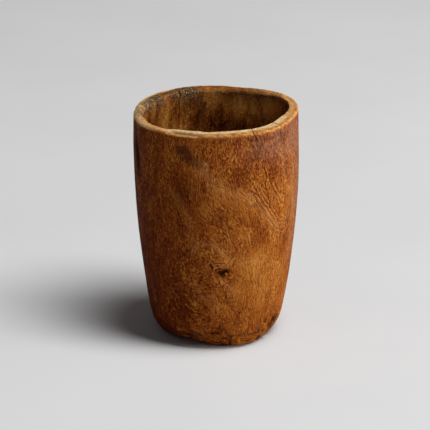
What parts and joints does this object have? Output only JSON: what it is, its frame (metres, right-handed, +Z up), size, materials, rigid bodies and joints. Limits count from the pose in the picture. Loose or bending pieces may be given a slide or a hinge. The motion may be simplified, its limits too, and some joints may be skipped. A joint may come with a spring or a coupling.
{
  "type": "dice cup",
  "caption": "Hand-carved wooden dice cup: a hollowed trunk wall, a let-in base disc pinned by pegs and a leather disc on the floor.",
  "frame": {"origin": "centre of the cup's foot, on the surface that it stands on", "axes": "+Z up along the cup's axis to the mouth, -Y towards the front of the cup, where the knot is, +X to the right"},
  "size_m": [0.0746, 0.0739, 0.105],
  "materials": {
    "trunk_wood": "hand-worn, low sheen, orange-brown with dark blotches and a pale worn rim",
    "base_wood": "matt, end grain, darkened by handling",
    "peg_wood": "matt dark hardwood",
    "floor_leather": "worn matt leather"
  },
  "bodies": {
    "root": {"trunk_wall": "trunk_wood", "base_disc": "base_wood", "floor_leather": "floor_leather", "base_peg_1": "peg_wood", "base_peg_2": "peg_wood", "base_peg_3": "peg_wood", "base_peg_4": "peg_wood", "base_peg_5": "peg_wood", "base_peg_6": "peg_wood"}
  },
  "joints": []
}
